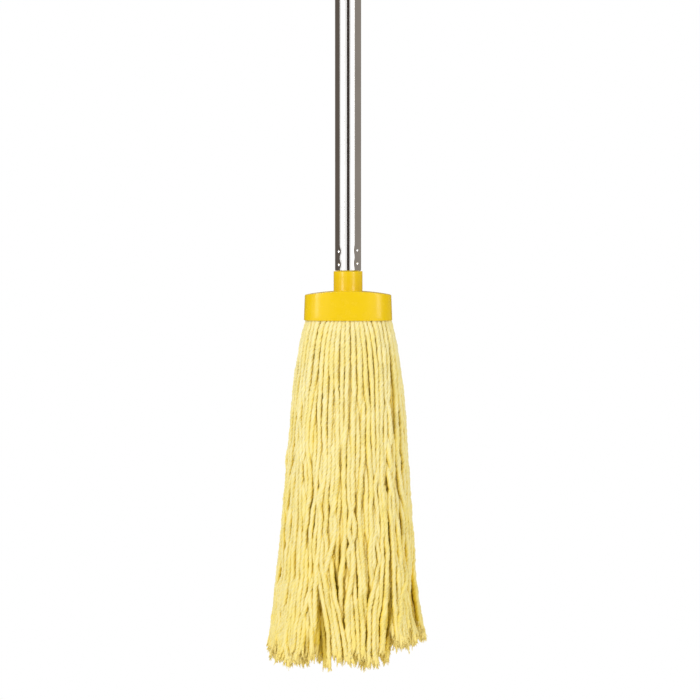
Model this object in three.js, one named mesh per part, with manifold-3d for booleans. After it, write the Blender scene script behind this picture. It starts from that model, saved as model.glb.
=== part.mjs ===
// String mop hanging from its eye: steel tube handle, screw-on ferrule and a skirt of cotton yarn.
// Millimetres, +Z up, front towards -Y, origin at the centre of the hanging eye.
import * as THREE from 'three';
import { mergeVertices } from 'three/addons/utils/BufferGeometryUtils.js';
import Module from 'manifold-3d';

const wasm = await Module();
wasm.setup();

// ---------------------------------------------------------------- driving dimensions

const GAP = 0.3; // space left between pieces that touch or slide
const OVERRUN = 1; // by which a cutter or a joined form runs past the face it meets
const QUARTER_TURN = Math.PI / 2;
const FULL_TURN = Math.PI * 2;
const ROUND_SEGMENTS = 40;
const SMALL_ROUND_SEGMENTS = 24;

const EYE_HOLE_RADIUS = 7;
const EYE_RING_RADIUS = 13;
const EYE_THICKNESS = 5;
const EYE_BEVEL = 0.8;
const EYE_LIP = 1.5; // wall of the ring between its hole and the top of the neck
const NECK_RADIUS = 6;
const NECK_TOP = -(EYE_HOLE_RADIUS + EYE_LIP);
const NECK_BOTTOM = -20;
const STEM_RADIUS = 3.6;
const STEM_END = 1; // length of stem that shows below the push nut

const PLUG_FLANGE_RADIUS = 13.4;
const PLUG_FLANGE_THICKNESS = 3;
const PLUG_DEPTH = 24;
const PLUG_EDGE = 1;
const PUSH_NUT_RADIUS = 8;
const PUSH_NUT_THICKNESS = 1.5;

const TUBE_RADIUS = 12.7;
const TUBE_WALL = 0.9;
const TUBE_LENGTH = 1350;
const TUBE_TUCK = 0.6; // how far the lower rim is rolled inwards
const TUBE_TUCK_HEIGHT = 1.6;

const DIMPLE_ANGLES = [45, 135, 225, 315].map(THREE.MathUtils.degToRad);
const DIMPLE_HEIGHTS = [6.7, 19.5]; // above the tube's lower rim
const DIMPLE_STAGGER = 0.6; // the dimples on the right sit this much higher, on the left lower
const DIMPLE_MOUTH_RADIUS = 1.5;
const DIMPLE_TIP_RADIUS = 0.6;
const DIMPLE_BUMP_RADIUS = 1.2; // of the tip inside the tube's bore
const DIMPLE_DEPTH = 0.9;
const DIMPLE_SEGMENTS = 12;

const THREAD_PITCH = 5.08;
const THREAD_CREST_RADIUS = 9.5;
const THREAD_ROOT_RADIUS = 7.9;
const THREAD_LENGTH = 24;
const THREAD_FLANK_SHARE = 0.22; // of the pitch, for the rise and again for the fall
const THREAD_CREST_END = 0.5; // share of the pitch where the crest ends
const THREAD_LEAD_IN = 2.6; // height over which the thread's end is tapered
const THREAD_CLEARANCE = 0.35;
const THREAD_STEPS_PER_TURN = 24;
const SHANK_LENGTH = 34;
const TIP_BORE_RADIUS = 4.5;

const COLLAR_RADIUS = 14.1;
const COLLAR_HEIGHT = 19.4; // above the middle of the roof
const COLLAR_EDGE = 0.6;

const SHELL_POWER = 3.2; // squareness of the oval outline, 2 is an ellipse
const SHELL_MOUTH = { halfWidth: 43.1, halfDepth: 28.7 };
const SHELL_SHOULDER = { halfWidth: 42.2, halfDepth: 28.1 };
const SHELL_SIDE_HEIGHT = 23.9;
const SHELL_WALL = 2.2;
const ROOF_EDGE = 0.8; // rounding between side wall and roof
const ROOF_RISE = 3.8; // the roof is an arch from left to right
const ROOF_RING_SCALES = [0.75, 0.5, 0.25]; // rings between the roof's edge and its middle
const SHELL_SEGMENTS = 48;

const BAR_RADIUS = 2;
const BAR_LENGTH = 72;
const BAR_OFFSET = 13; // of each bar from the middle, front or back
const BAR_HEIGHT = 11; // above the ferrule's mouth
const SEAT_INNER_X = 30;
const SEAT_OUTER_X = 36.5;
const SEAT_HALF_DEPTH = 18;
const SEAT_BOTTOM = BAR_HEIGHT - BAR_RADIUS - GAP;
const CLIP_THICKNESS = 2.2;
const CLIP_HALF_DEPTH = 16.5;
const CLIP_CORNER = 1.5;
const SCREW_RADIUS = 1.4;
const SCREW_HEAD_RADIUS = 2.6;
const SCREW_HEAD_HEIGHT = 1.6;
const SCREW_FACE_RADIUS = 1.8; // of the flat of its head
const SCREW_LENGTH = 8;
const RECESS_REACH = 1.56; // of each arm of the cross in the screw's head
const RECESS_HALF_WIDTH = 0.35;

const CROWN_HALF_LENGTH = 28.5;
const CROWN_RADIUS = 7;

const SKIRT_GAP = 1; // between neighbouring bundles, and below the ferrule
const CORE_SHARE = 0.42; // of the skirt's radius at each height
const CORE_LENGTH = 326;
const BUNDLE_ARC_STEPS = 6;
const CORE_SEGMENTS = 32;

// The skirt's outer outline at a few depths below the mouth, from snug to flared.
const SKIRT_STATIONS = [
  { depth: SKIRT_GAP, halfWidth: 42.4, halfDepth: 28.1, power: 3.2 },
  { depth: 9, halfWidth: 45.4, halfDepth: 31, power: 2.9 },
  { depth: 24, halfWidth: 48.4, halfDepth: 34, power: 2.6 },
  { depth: 55, halfWidth: 53.2, halfDepth: 37.5, power: 2.4 },
  { depth: 110, halfWidth: 58.1, halfDepth: 41.5, power: 2.3 },
  { depth: 175, halfWidth: 62.1, halfDepth: 45, power: 2.3 },
  { depth: 240, halfWidth: 67.4, halfDepth: 49, power: 2.3 },
  { depth: 290, halfWidth: 73.2, halfDepth: 53, power: 2.3 },
];
const SKIRT_HEM = { halfWidth: 80.5, halfDepth: 58, power: 2.3 };

// Outer bundles round the skirt, counter-clockwise from the right, with the length of their yarn.
const BUNDLES = [
  { name: 'yarn_right', length: 326 },
  { name: 'yarn_back_right', length: 334 },
  { name: 'yarn_back', length: 342 },
  { name: 'yarn_back_left', length: 338 },
  { name: 'yarn_left', length: 336 },
  { name: 'yarn_front_left', length: 342 },
  { name: 'yarn_front', length: 345 },
  { name: 'yarn_front_right', length: 334 },
];

// ---------------------------------------------------------------- levels, from the eye down

const FLANGE_TOP = NECK_BOTTOM - GAP;
const FLANGE_BOTTOM = FLANGE_TOP - PLUG_FLANGE_THICKNESS;
const PLUG_BOTTOM = FLANGE_BOTTOM - PLUG_DEPTH;
const PUSH_NUT_TOP = PLUG_BOTTOM - GAP;
const PUSH_NUT_BOTTOM = PUSH_NUT_TOP - PUSH_NUT_THICKNESS;
const STEM_BOTTOM = PUSH_NUT_BOTTOM - STEM_END;
const TUBE_TOP = FLANGE_BOTTOM - GAP;
const TUBE_BOTTOM = TUBE_TOP - TUBE_LENGTH;
const COLLAR_TOP = TUBE_BOTTOM - GAP;
const ROOF_MIDDLE = COLLAR_TOP - COLLAR_HEIGHT;
const MOUTH = ROOF_MIDDLE - ROOF_RISE - ROOF_EDGE - SHELL_SIDE_HEIGHT;
const THREAD_DATUM = COLLAR_TOP; // where the thread of the handle and that of the collar line up

const TUBE_BORE_RADIUS = TUBE_RADIUS - TUBE_WALL;
const INSERT_RADIUS = TUBE_BORE_RADIUS - GAP;

// ---------------------------------------------------------------- materials

function material(color, roughness, metalness) {
  return new THREE.MeshStandardMaterial({ color, roughness, metalness });
}

const CHROME = material(0xd6d3cd, 0.08, 1);
const ZINC = material(0xb4b7ba, 0.4, 1);
const YELLOW_PLASTIC = material(0xf7d029, 0.35, 0);
const NYLON = material(0xe9e6da, 0.5, 0);
const YARN = material(0xecdb90, 0.95, 0);

// ---------------------------------------------------------------- solids

/** Turn a closed geometry into a solid, with its faces pointing out. */
function solid(geometry) {
  const bare = new THREE.BufferGeometry();
  bare.setAttribute('position', geometry.getAttribute('position').clone());
  if (geometry.index) bare.setIndex(geometry.index.clone());
  const merged = mergeVertices(bare, 1e-4);
  const corners = [];
  for (let i = 0; i < merged.index.count; i += 3) {
    const triangle = [0, 1, 2].map((k) => merged.index.getX(i + k));
    if (new Set(triangle).size === 3) corners.push(...triangle);
  }
  const positions = merged.getAttribute('position').array;
  if (signedVolume(positions, corners) < 0) corners.reverse();
  return new wasm.Manifold(
    new wasm.Mesh({
      numProp: 3,
      vertProperties: new Float32Array(positions),
      triVerts: new Uint32Array(corners),
    }),
  );
}

function signedVolume(positions, corners) {
  const [a, b, c] = [new THREE.Vector3(), new THREE.Vector3(), new THREE.Vector3()];
  let volume = 0;
  for (let i = 0; i < corners.length; i += 3) {
    a.fromArray(positions, corners[i] * 3);
    b.fromArray(positions, corners[i + 1] * 3);
    c.fromArray(positions, corners[i + 2] * 3);
    volume += a.dot(b.cross(c)) / 6;
  }
  return volume;
}

function geometryOf(body) {
  const mesh = body.getMesh();
  const geometry = new THREE.BufferGeometry();
  geometry.setAttribute('position', new THREE.BufferAttribute(new Float32Array(mesh.vertProperties), 3));
  geometry.setIndex(new THREE.BufferAttribute(new Uint32Array(mesh.triVerts), 1));
  geometry.computeVertexNormals();
  return geometry;
}

function joined(...bodies) {
  return bodies.reduce((whole, body) => whole.add(body));
}

function cut(body, ...cutters) {
  return cutters.reduce((rest, cutter) => rest.subtract(cutter), body);
}

/** Solid of revolution about Z. The profile is [radius, height] pairs, closed by its last point. */
function turned(profile, segments = ROUND_SEGMENTS) {
  const points = [...profile, profile[0]].map(([radius, height]) => new THREE.Vector2(radius, height));
  return solid(new THREE.LatheGeometry(points, segments).rotateX(QUARTER_TURN));
}

function cylinder(radius, bottom, top, segments = ROUND_SEGMENTS) {
  return turned([[0, bottom], [radius, bottom], [radius, top], [0, top]], segments);
}

function block([x0, x1], [y0, y1], [z0, z1]) {
  const box = new THREE.BoxGeometry(x1 - x0, y1 - y0, z1 - z0);
  return solid(box.translate((x0 + x1) / 2, (y0 + y1) / 2, (z0 + z1) / 2));
}

/** Solid through a stack of rings with the same number of points, each listed counter-clockwise. */
function lofted(rings) {
  const count = rings[0].length;
  const points = rings.flat();
  const corners = [];
  for (let ring = 0; ring < rings.length - 1; ring += 1) {
    for (let i = 0; i < count; i += 1) {
      const next = (i + 1) % count;
      const [a, b] = [ring * count + i, ring * count + next];
      corners.push(a, b, b + count, a, b + count, a + count);
    }
  }
  [0, rings.length - 1].forEach((ring) => {
    const middle = points.push(centreOf(rings[ring])) - 1;
    for (let i = 0; i < count; i += 1) {
      const [a, b] = [ring * count + i, ring * count + ((i + 1) % count)];
      corners.push(...(ring === 0 ? [middle, b, a] : [middle, a, b]));
    }
  });
  const geometry = new THREE.BufferGeometry().setFromPoints(points);
  geometry.setIndex(corners);
  return solid(geometry);
}

function centreOf(ring) {
  const sum = ring.reduce((total, point) => total.add(point), new THREE.Vector3());
  return sum.divideScalar(ring.length);
}

/** Distance from the axis to a superellipse, in the direction of an angle. */
function outlineRadius({ halfWidth, halfDepth, power }, angle) {
  const across = Math.abs(Math.cos(angle) / halfWidth) ** power;
  const along = Math.abs(Math.sin(angle) / halfDepth) ** power;
  return (across + along) ** (-1 / power);
}

function polar(radius, angle, z) {
  return new THREE.Vector3(radius * Math.cos(angle), radius * Math.sin(angle), z);
}

/** Rod with a right-hand thread, cut off flat at both ends. All threads start their turns at one level. */
function threadedRod(root, crest, flankGap, bottom, top) {
  const spread = flankGap / THREAD_PITCH;
  const stations = [
    [-spread, root],
    [THREAD_FLANK_SHARE - spread, crest],
    [THREAD_CREST_END + spread, crest],
    [THREAD_CREST_END + THREAD_FLANK_SHARE + spread, root],
  ];
  const turnsBelow = Math.ceil((THREAD_DATUM - bottom) / THREAD_PITCH) + 1;
  const start = THREAD_DATUM - turnsBelow * THREAD_PITCH;
  const turns = Math.ceil((top - start) / THREAD_PITCH) + 2;
  const points = [];
  for (let turn = 0; turn < turns; turn += 1) {
    stations.forEach(([share, radius]) => {
      for (let step = 0; step < THREAD_STEPS_PER_TURN; step += 1) {
        const part = step / THREAD_STEPS_PER_TURN;
        points.push(polar(radius, part * FULL_TURN, start + (turn + share + part) * THREAD_PITCH));
      }
    });
  }
  const rows = turns * stations.length;
  const at = (row, step) => {
    const wrapped = step === THREAD_STEPS_PER_TURN;
    const [r, s] = wrapped ? [row + stations.length, 0] : [row, step];
    return r * THREAD_STEPS_PER_TURN + s;
  };
  const lastRow = rows - stations.length - 1; // the rows above it close the last turn
  const corners = [];
  for (let row = 0; row < lastRow; row += 1) {
    for (let step = 0; step < THREAD_STEPS_PER_TURN; step += 1) {
      const [a, b] = [at(row, step), at(row, step + 1)];
      const [c, d] = [at(row + 1, step + 1), at(row + 1, step)];
      corners.push(a, b, c, a, c, d);
    }
  }
  closeThreadEnd(points, corners, at, 0, stations.length, true);
  closeThreadEnd(points, corners, at, lastRow, stations.length, false);
  const geometry = new THREE.BufferGeometry().setFromPoints(points);
  geometry.setIndex(corners);
  const slab = cylinder(crest * 2, bottom, top);
  return solid(geometry).intersect(slab);
}

/** Fan from the axis over one end of a helical surface: once round it, then down the step. */
function closeThreadEnd(points, corners, at, row, stationCount, atBottom) {
  const loop = [];
  for (let step = 0; step <= THREAD_STEPS_PER_TURN; step += 1) loop.push(at(row, step));
  for (let back = stationCount - 1; back >= 1; back -= 1) loop.push(at(row + back, 0));
  const height = loop.reduce((sum, index) => sum + points[index].z, 0) / loop.length;
  const middle = points.push(new THREE.Vector3(0, 0, height)) - 1;
  loop.forEach((index, i) => {
    const next = loop[(i + 1) % loop.length];
    corners.push(...(atBottom ? [middle, next, index] : [middle, index, next]));
  });
}

// ---------------------------------------------------------------- hanging eye

function hangingEye() {
  const outline = new THREE.Shape();
  outline.absarc(0, 0, EYE_RING_RADIUS - EYE_BEVEL, 0, FULL_TURN);
  const hole = new THREE.Path();
  hole.absarc(0, 0, EYE_HOLE_RADIUS + EYE_BEVEL, 0, FULL_TURN, true);
  outline.holes.push(hole);
  const ring = new THREE.ExtrudeGeometry(outline, {
    depth: EYE_THICKNESS - 2 * EYE_BEVEL,
    bevelThickness: EYE_BEVEL,
    bevelSize: EYE_BEVEL,
    bevelSegments: 1,
    curveSegments: SMALL_ROUND_SEGMENTS,
  });
  ring.translate(0, 0, EYE_BEVEL - EYE_THICKNESS / 2).rotateX(QUARTER_TURN);
  const neck = cylinder(NECK_RADIUS, NECK_BOTTOM, NECK_TOP, SMALL_ROUND_SEGMENTS);
  const stem = cylinder(STEM_RADIUS, STEM_BOTTOM, NECK_BOTTOM + OVERRUN, SMALL_ROUND_SEGMENTS);
  return joined(solid(ring), neck, stem);
}

function eyePushNut() {
  const bore = STEM_RADIUS + GAP;
  return turned(
    [
      [bore, PUSH_NUT_BOTTOM],
      [PUSH_NUT_RADIUS, PUSH_NUT_BOTTOM],
      [PUSH_NUT_RADIUS, PUSH_NUT_TOP],
      [bore, PUSH_NUT_TOP],
    ],
    SMALL_ROUND_SEGMENTS,
  );
}

// ---------------------------------------------------------------- handle

function capPlug() {
  const bore = STEM_RADIUS + GAP;
  return turned([
    [bore, PLUG_BOTTOM],
    [INSERT_RADIUS - PLUG_EDGE, PLUG_BOTTOM],
    [INSERT_RADIUS, PLUG_BOTTOM + PLUG_EDGE],
    [INSERT_RADIUS, FLANGE_BOTTOM],
    [PLUG_FLANGE_RADIUS, FLANGE_BOTTOM],
    [PLUG_FLANGE_RADIUS, FLANGE_TOP - PLUG_EDGE],
    [PLUG_FLANGE_RADIUS - PLUG_EDGE, FLANGE_TOP],
    [bore, FLANGE_TOP],
  ]);
}

/** Cone pointing at the tube's axis for each dimple, between two distances from that axis. */
function dimpleCones(outerReach, innerReach, mouthRadius, tipRadius) {
  const cones = [];
  DIMPLE_HEIGHTS.forEach((height) => {
    DIMPLE_ANGLES.forEach((angle) => {
      const stagger = DIMPLE_STAGGER * Math.sign(Math.cos(angle));
      const cone = new THREE.CylinderGeometry(
        mouthRadius,
        tipRadius,
        outerReach - innerReach,
        DIMPLE_SEGMENTS,
      );
      cone.translate(0, (outerReach + innerReach) / 2, 0);
      cone.rotateZ(angle - QUARTER_TURN);
      cone.translate(0, 0, TUBE_BOTTOM + height + stagger);
      cones.push(solid(cone));
    });
  });
  return cones;
}

function handleTube() {
  const tuckTop = TUBE_BOTTOM + TUBE_TUCK_HEIGHT;
  const plain = turned([
    [TUBE_BORE_RADIUS - TUBE_TUCK, TUBE_BOTTOM],
    [TUBE_RADIUS - TUBE_TUCK, TUBE_BOTTOM],
    [TUBE_RADIUS - TUBE_TUCK / 3, TUBE_BOTTOM + TUBE_TUCK_HEIGHT / 3],
    [TUBE_RADIUS, tuckTop],
    [TUBE_RADIUS, TUBE_TOP],
    [TUBE_BORE_RADIUS, TUBE_TOP],
    [TUBE_BORE_RADIUS, tuckTop],
  ]);
  const wallMiddle = TUBE_RADIUS - TUBE_WALL / 2;
  const bumps = dimpleCones(
    wallMiddle,
    TUBE_BORE_RADIUS - DIMPLE_DEPTH,
    DIMPLE_MOUTH_RADIUS,
    DIMPLE_BUMP_RADIUS,
  );
  const dents = dimpleCones(
    TUBE_RADIUS + GAP,
    TUBE_RADIUS - DIMPLE_DEPTH,
    DIMPLE_MOUTH_RADIUS,
    DIMPLE_TIP_RADIUS,
  );
  return cut(joined(plain, ...bumps), ...dents);
}

function threadedTip() {
  const shankTop = TUBE_BOTTOM + SHANK_LENGTH;
  const tuckClear = TUBE_BOTTOM + TUBE_TUCK_HEIGHT + GAP;
  const shank = turned([
    [0, TUBE_BOTTOM],
    [INSERT_RADIUS - TUBE_TUCK, TUBE_BOTTOM],
    [INSERT_RADIUS - TUBE_TUCK, tuckClear],
    [INSERT_RADIUS, tuckClear + TUBE_TUCK],
    [INSERT_RADIUS, shankTop - PLUG_EDGE],
    [INSERT_RADIUS - PLUG_EDGE, shankTop],
    [0, shankTop],
  ]);
  const sockets = dimpleCones(
    TUBE_RADIUS,
    TUBE_BORE_RADIUS - DIMPLE_DEPTH - GAP,
    DIMPLE_MOUTH_RADIUS + GAP,
    DIMPLE_MOUTH_RADIUS,
  );
  const threadBottom = TUBE_BOTTOM - THREAD_LENGTH;
  const thread = threadedRod(
    THREAD_ROOT_RADIUS,
    THREAD_CREST_RADIUS,
    0,
    threadBottom,
    TUBE_BOTTOM + OVERRUN,
  );
  const leadIn = turned([
    [0, threadBottom],
    [THREAD_ROOT_RADIUS, threadBottom],
    [THREAD_CREST_RADIUS + OVERRUN, threadBottom + THREAD_LEAD_IN],
    [THREAD_CREST_RADIUS + OVERRUN, TUBE_BOTTOM + OVERRUN],
    [0, TUBE_BOTTOM + OVERRUN],
  ]);
  const bore = cylinder(
    TIP_BORE_RADIUS,
    threadBottom - OVERRUN,
    shankTop + OVERRUN,
    SMALL_ROUND_SEGMENTS,
  );
  return cut(joined(cut(shank, ...sockets), thread.intersect(leadIn)), bore);
}

// ---------------------------------------------------------------- ferrule

/** Ring of the ferrule's oval, with the arch of the roof taken up by a share of its rise. */
function shellRing(size, scale, height, archShare) {
  const ring = [];
  for (let i = 0; i < SHELL_SEGMENTS; i += 1) {
    const angle = (i / SHELL_SEGMENTS) * FULL_TURN;
    const reach = scale * outlineRadius({ ...size, power: SHELL_POWER }, angle);
    const point = polar(reach, angle, height);
    point.z += archShare * ROOF_RISE * (1 - (point.x / SHELL_SHOULDER.halfWidth) ** 2);
    ring.push(point);
  }
  return ring;
}

function shrunk({ halfWidth, halfDepth }, inset) {
  return { halfWidth: halfWidth - inset, halfDepth: halfDepth - inset };
}

/** Closed form of the shell, drawn in all round by an inset. */
function shellForm(inset, bottom) {
  const shoulder = shrunk(SHELL_SHOULDER, inset);
  const sideTop = MOUTH + SHELL_SIDE_HEIGHT - inset;
  const roof = sideTop + ROOF_EDGE;
  const edgeMiddle = ROOF_EDGE * Math.SQRT1_2;
  return lofted([
    shellRing(shrunk(SHELL_MOUTH, inset), 1, bottom, 0),
    shellRing(shoulder, 1, sideTop, 1),
    shellRing(shrunk(shoulder, ROOF_EDGE - edgeMiddle), 1, sideTop + edgeMiddle, 1),
    shellRing(shrunk(shoulder, ROOF_EDGE), 1, roof, 1),
    ...ROOF_RING_SCALES.map((scale) => shellRing(shoulder, scale, roof, 1)),
  ]);
}

/** Room for the two yarn bars: open below, round at the top. */
function barSlots() {
  const width = BAR_RADIUS + GAP;
  const level = MOUTH + BAR_HEIGHT;
  return [-BAR_OFFSET, BAR_OFFSET].flatMap((y) => {
    const reach = BAR_LENGTH / 2 + GAP;
    const round = new THREE.CylinderGeometry(width, width, reach * 2, SMALL_ROUND_SEGMENTS);
    round.rotateZ(QUARTER_TURN).translate(0, y, level);
    return [solid(round), block([-reach, reach], [y - width, y + width], [MOUTH, level])];
  });
}

function seats(outerForm) {
  const depth = [-SEAT_HALF_DEPTH, SEAT_HALF_DEPTH];
  const height = [MOUTH + SEAT_BOTTOM, ROOF_MIDDLE];
  return joined(
    block([SEAT_INNER_X, SEAT_OUTER_X], depth, height),
    block([-SEAT_OUTER_X, -SEAT_INNER_X], depth, height),
  ).intersect(outerForm);
}

function ferrule() {
  const outerForm = shellForm(0, MOUTH);
  const shell = cut(outerForm, shellForm(SHELL_WALL, MOUTH - OVERRUN));
  const collar = turned([
    [0, ROOF_MIDDLE - SHELL_WALL],
    [COLLAR_RADIUS, ROOF_MIDDLE - SHELL_WALL],
    [COLLAR_RADIUS, COLLAR_TOP - COLLAR_EDGE],
    [COLLAR_RADIUS - COLLAR_EDGE, COLLAR_TOP],
    [0, COLLAR_TOP],
  ]);
  const thread = threadedRod(
    THREAD_ROOT_RADIUS + THREAD_CLEARANCE,
    THREAD_CREST_RADIUS + THREAD_CLEARANCE,
    THREAD_CLEARANCE / 2,
    ROOF_MIDDLE - SHELL_WALL - OVERRUN,
    COLLAR_TOP + OVERRUN,
  );
  const screwHoles = [-1, 1].map((side) => {
    const hole = cylinder(
      SCREW_RADIUS + GAP,
      MOUTH + SEAT_BOTTOM - OVERRUN,
      MOUTH + SEAT_BOTTOM + SCREW_LENGTH,
      DIMPLE_SEGMENTS,
    );
    return hole.translate([side * clipMiddle(), 0, 0]);
  });
  return cut(joined(shell, collar, seats(outerForm)), thread, ...barSlots(), ...screwHoles);
}

// ---------------------------------------------------------------- yarn bars and their clips

function clipMiddle() {
  return (SEAT_INNER_X + SEAT_OUTER_X) / 2;
}

function yarnBar(side) {
  const half = BAR_LENGTH / 2;
  const edge = BAR_RADIUS / 4;
  const bar = turned(
    [
      [0, -half],
      [BAR_RADIUS - edge, -half],
      [BAR_RADIUS, -half + edge],
      [BAR_RADIUS, half - edge],
      [BAR_RADIUS - edge, half],
      [0, half],
    ],
    SMALL_ROUND_SEGMENTS,
  );
  return bar.rotate([0, 90, 0]).translate([0, side * BAR_OFFSET, MOUTH + BAR_HEIGHT]);
}

function barClip(side) {
  const width = SEAT_OUTER_X - SEAT_INNER_X;
  const cornerX = width / 2 - CLIP_CORNER;
  const cornerY = CLIP_HALF_DEPTH - CLIP_CORNER;
  const outline = new THREE.Shape();
  outline.moveTo(-cornerX, -CLIP_HALF_DEPTH);
  [[cornerX, -cornerY], [cornerX, cornerY], [-cornerX, cornerY], [-cornerX, -cornerY]].forEach(
    ([x, y], turn) => outline.absarc(x, y, CLIP_CORNER, (turn - 1) * QUARTER_TURN, turn * QUARTER_TURN),
  );
  const hole = new THREE.Path();
  hole.absarc(0, 0, SCREW_RADIUS + GAP, 0, FULL_TURN, true);
  outline.holes.push(hole);
  const plate = new THREE.ExtrudeGeometry(outline, {
    depth: CLIP_THICKNESS,
    bevelEnabled: false,
    curveSegments: DIMPLE_SEGMENTS / 2,
  });
  plate.translate(side * clipMiddle(), 0, MOUTH + SEAT_BOTTOM - GAP - CLIP_THICKNESS);
  return solid(plate);
}

function clipScrew(side) {
  const headTop = MOUTH + SEAT_BOTTOM - 2 * GAP - CLIP_THICKNESS;
  const headBottom = headTop - SCREW_HEAD_HEIGHT;
  const tip = headTop + SCREW_LENGTH;
  const screw = turned(
    [
      [0, headBottom],
      [SCREW_FACE_RADIUS, headBottom],
      [SCREW_HEAD_RADIUS, headBottom + SCREW_HEAD_HEIGHT / 2],
      [SCREW_HEAD_RADIUS, headTop],
      [SCREW_RADIUS, headTop],
      [SCREW_RADIUS, tip - SCREW_RADIUS],
      [0, tip],
    ],
    DIMPLE_SEGMENTS,
  );
  const along = [-RECESS_REACH, RECESS_REACH];
  const across = [-RECESS_HALF_WIDTH, RECESS_HALF_WIDTH];
  const depth = [headBottom - OVERRUN, headBottom + SCREW_HEAD_HEIGHT / 2];
  const recess = joined(block(along, across, depth), block(across, along, depth));
  return cut(screw, recess).translate([side * clipMiddle(), 0, 0]);
}

// ---------------------------------------------------------------- yarn

/** Yarn folded over one bar: an arch round it, with its legs down to the ferrule's mouth. */
function yarnCrown(side) {
  const arch = new THREE.Shape();
  arch.moveTo(-CROWN_RADIUS, 0);
  arch.lineTo(CROWN_RADIUS, 0);
  arch.absarc(0, BAR_HEIGHT, CROWN_RADIUS, 0, Math.PI);
  const hole = new THREE.Path();
  hole.absarc(0, BAR_HEIGHT, BAR_RADIUS + GAP, 0, FULL_TURN, true);
  arch.holes.push(hole);
  const crown = new THREE.ExtrudeGeometry(arch, {
    depth: 2 * CROWN_HALF_LENGTH,
    bevelEnabled: false,
    curveSegments: DIMPLE_SEGMENTS,
  });
  crown.rotateX(QUARTER_TURN).rotateZ(QUARTER_TURN);
  crown.translate(-CROWN_HALF_LENGTH, side * BAR_OFFSET, MOUTH);
  return solid(crown);
}

/** Stations of the skirt from the mouth down to a length, with the hem's outline at the end. */
function stationsDownTo(length) {
  return [...SKIRT_STATIONS, { depth: length, ...SKIRT_HEM }];
}

function yarnCore() {
  const rings = stationsDownTo(CORE_LENGTH).map((station) => {
    const ring = [];
    for (let i = 0; i < CORE_SEGMENTS; i += 1) {
      const angle = (i / CORE_SEGMENTS) * FULL_TURN;
      const reach = CORE_SHARE * outlineRadius(station, angle) - SKIRT_GAP / 2;
      ring.push(polar(reach, angle, MOUTH - station.depth));
    }
    return ring;
  });
  return lofted(rings.reverse());
}

/** Direction of the edge between two bundles, spaced so that all bundles are about as thick. */
function edgeAngle(index) {
  const turn = ((index - 0.5) / BUNDLES.length) * FULL_TURN;
  const { halfWidth, halfDepth } = SHELL_SHOULDER;
  const angle = Math.atan2(halfDepth * Math.sin(turn), halfWidth * Math.cos(turn));
  return index >= BUNDLES.length / 2 + 1 ? angle + FULL_TURN : angle;
}

function yarnBundle({ length }, index) {
  const [from, to] = [edgeAngle(index), edgeAngle(index + 1)];
  const rings = stationsDownTo(length).map((station) => {
    const arc = (share, inset) => {
      const points = [];
      for (let step = 0; step <= BUNDLE_ARC_STEPS; step += 1) {
        const angle = THREE.MathUtils.lerp(from, to, step / BUNDLE_ARC_STEPS);
        const reach = share * outlineRadius(station, angle) + inset;
        const side = SKIRT_GAP / 2 / reach;
        const inner = THREE.MathUtils.clamp(angle, from + side, to - side);
        points.push(polar(reach, inner, MOUTH - station.depth));
      }
      return points;
    };
    return [...arc(1, 0), ...arc(CORE_SHARE, SKIRT_GAP / 2).reverse()];
  });
  return lofted(rings.reverse());
}

// ---------------------------------------------------------------- assembly

const mop = new THREE.Group();

function place(name, body, look) {
  const mesh = new THREE.Mesh(geometryOf(body), look);
  mesh.name = name;
  mop.add(mesh);
}

place('hanging_eye', hangingEye(), YELLOW_PLASTIC);
place('eye_push_nut', eyePushNut(), ZINC);
place('cap_plug', capPlug(), YELLOW_PLASTIC);
place('handle_tube', handleTube(), CHROME);
place('threaded_tip', threadedTip(), NYLON);
place('ferrule', ferrule(), YELLOW_PLASTIC);

[['front', -1], ['back', 1]].forEach(([where, side]) => {
  place(`yarn_bar_${where}`, yarnBar(side), ZINC);
  place(`yarn_crown_${where}`, yarnCrown(side), YARN);
});

[['left', -1], ['right', 1]].forEach(([where, side]) => {
  place(`bar_clip_${where}`, barClip(side), NYLON);
  place(`clip_screw_${where}`, clipScrew(side), ZINC);
});

place('yarn_core', yarnCore(), YARN);
BUNDLES.forEach((bundle, index) => place(bundle.name, yarnBundle(bundle, index), YARN));

export default mop;
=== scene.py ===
import math

import bpy
import numpy as np
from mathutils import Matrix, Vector


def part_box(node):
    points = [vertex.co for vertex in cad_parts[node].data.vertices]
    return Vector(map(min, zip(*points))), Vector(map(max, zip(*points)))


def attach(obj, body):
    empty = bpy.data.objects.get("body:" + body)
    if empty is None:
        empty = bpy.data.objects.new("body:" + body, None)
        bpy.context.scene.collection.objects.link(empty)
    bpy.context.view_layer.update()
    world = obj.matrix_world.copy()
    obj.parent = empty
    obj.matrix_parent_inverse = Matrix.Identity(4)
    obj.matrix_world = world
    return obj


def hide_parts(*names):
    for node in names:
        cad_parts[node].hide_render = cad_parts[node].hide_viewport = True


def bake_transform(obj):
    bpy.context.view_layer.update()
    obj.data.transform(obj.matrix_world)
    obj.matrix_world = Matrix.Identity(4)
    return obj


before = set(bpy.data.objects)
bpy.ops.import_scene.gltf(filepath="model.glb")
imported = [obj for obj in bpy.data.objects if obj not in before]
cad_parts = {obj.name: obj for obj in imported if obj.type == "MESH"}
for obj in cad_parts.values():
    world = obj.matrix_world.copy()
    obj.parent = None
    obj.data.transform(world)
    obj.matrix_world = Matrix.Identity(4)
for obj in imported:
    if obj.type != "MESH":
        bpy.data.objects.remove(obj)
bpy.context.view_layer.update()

# -------- sizes, in metres

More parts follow.
